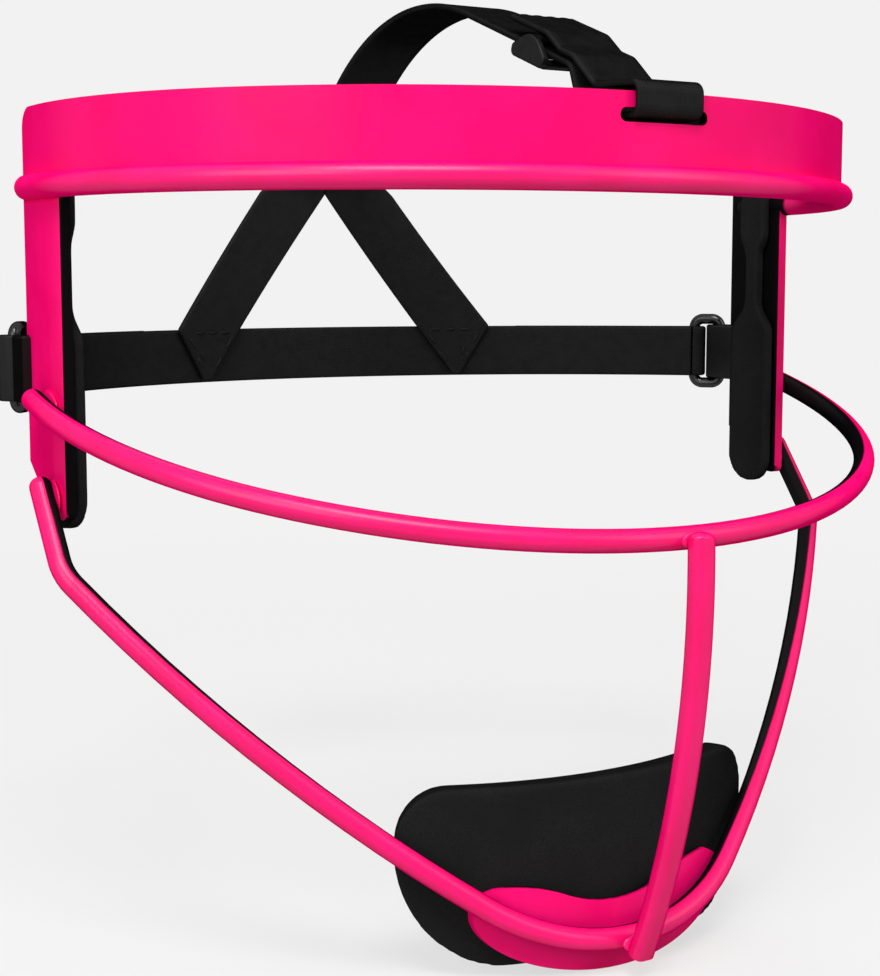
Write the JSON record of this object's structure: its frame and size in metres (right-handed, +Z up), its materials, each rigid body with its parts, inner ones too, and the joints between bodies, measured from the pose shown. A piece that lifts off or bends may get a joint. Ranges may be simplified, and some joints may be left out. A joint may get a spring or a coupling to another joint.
{
  "type": "softball face guard",
  "caption": "Open welded-bar face guard with a brow band, eye bar, chin cup, foam pads and an adjustable webbing harness with a ponytail gap.",
  "frame": {"origin": "middle of the wearer's head between the two side plates, at the level of the back strap", "axes": "+X to the wearer's left, +Y to the back of the head, +Z up; the guard's front faces -Y"},
  "size_m": [0.1772, 0.1409, 0.1781],
  "materials": {
    "powder_coat": "gloss powder coat",
    "foam": "matte closed-cell foam",
    "tape": "hook-and-loop tape",
    "webbing": "woven polyester webbing",
    "clip_plastic": "moulded nylon",
    "ring_steel": "gloss black coat"
  },
  "bodies": {
    "guard": {"brow_band": "powder_coat", "brow_bead": "powder_coat", "side_plate_left": "powder_coat", "side_plate_right": "powder_coat", "eye_bar": "powder_coat", "lower_bar": "powder_coat", "centre_bar": "powder_coat", "chin_plate": "powder_coat", "forehead_pad": "foam", "side_pad_left": "foam", "side_pad_right": "foam", "chin_pad": "foam", "forehead_tape": "tape", "side_tape_left": "tape", "side_tape_right": "tape", "chin_tape": "tape", "tail_tape_left": "tape", "tail_tape_right": "tape", "back_strap": "webbing", "v_strap_left": "webbing", "v_strap_right": "webbing", "top_strap": "webbing", "side_clip_left": "clip_plastic", "side_clip_right": "clip_plastic"},
    "ring_left": {"ring_left": "ring_steel", "strap_tail_left": "webbing"},
    "ring_right": {"ring_right": "ring_steel", "strap_tail_right": "webbing"},
    "adjuster": {"adjuster_slide": "clip_plastic"}
  },
  "joints": [
    {"name": "ring_left_swivel", "type": "hinge", "parent": "guard", "child": "ring_left", "pos_m": [0.0849, 0.0191, 0], "axis": [0, 0, -1], "range_deg": [0, 25]},
    {"name": "ring_right_swivel", "type": "hinge", "parent": "guard", "child": "ring_right", "pos_m": [-0.0849, 0.0191, 0], "axis": [0, 0, 1], "range_deg": [0, 25]},
    {"name": "adjuster_travel", "type": "slide", "parent": "guard", "child": "adjuster", "axis": [0, 0.9367, 0.3502], "range_m": [0, 0.008]}
  ]
}
